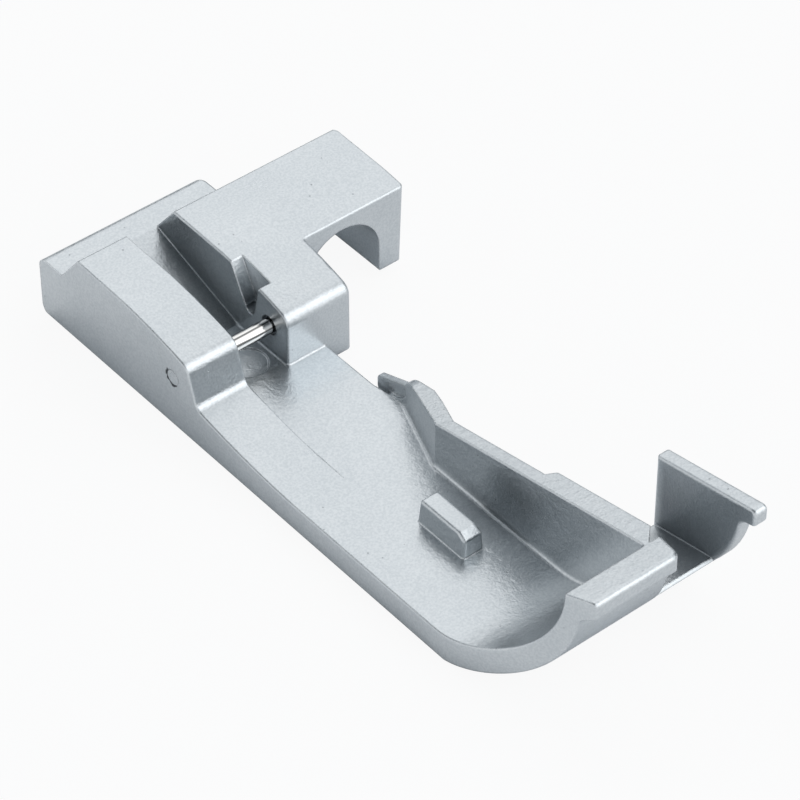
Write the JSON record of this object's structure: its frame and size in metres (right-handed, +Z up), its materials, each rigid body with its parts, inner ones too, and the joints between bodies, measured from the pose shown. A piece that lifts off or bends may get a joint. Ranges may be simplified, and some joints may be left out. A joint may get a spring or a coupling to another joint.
{
  "type": "sewing machine presser foot",
  "caption": "Long plated presser foot for an overlock machine: upturned toe, guide wall, side channel with a fin, rear side arm over an arch, and a cross pin that a clip-on holder grips.",
  "frame": {"origin": "on the flat sole, straight below the cross pin, 3.55 mm to the right of the slot's left wall", "axes": "+X to the sewer's right, +Y to the rear of the foot, +Z up from the sole"},
  "size_m": [0.0296, 0.0703, 0.0142],
  "materials": {
    "plated_casting": "satin plated",
    "polished_pin": "polished"
  },
  "bodies": {
    "root": {"foot_casting": "plated_casting", "snap_pin": "polished_pin"}
  },
  "joints": []
}
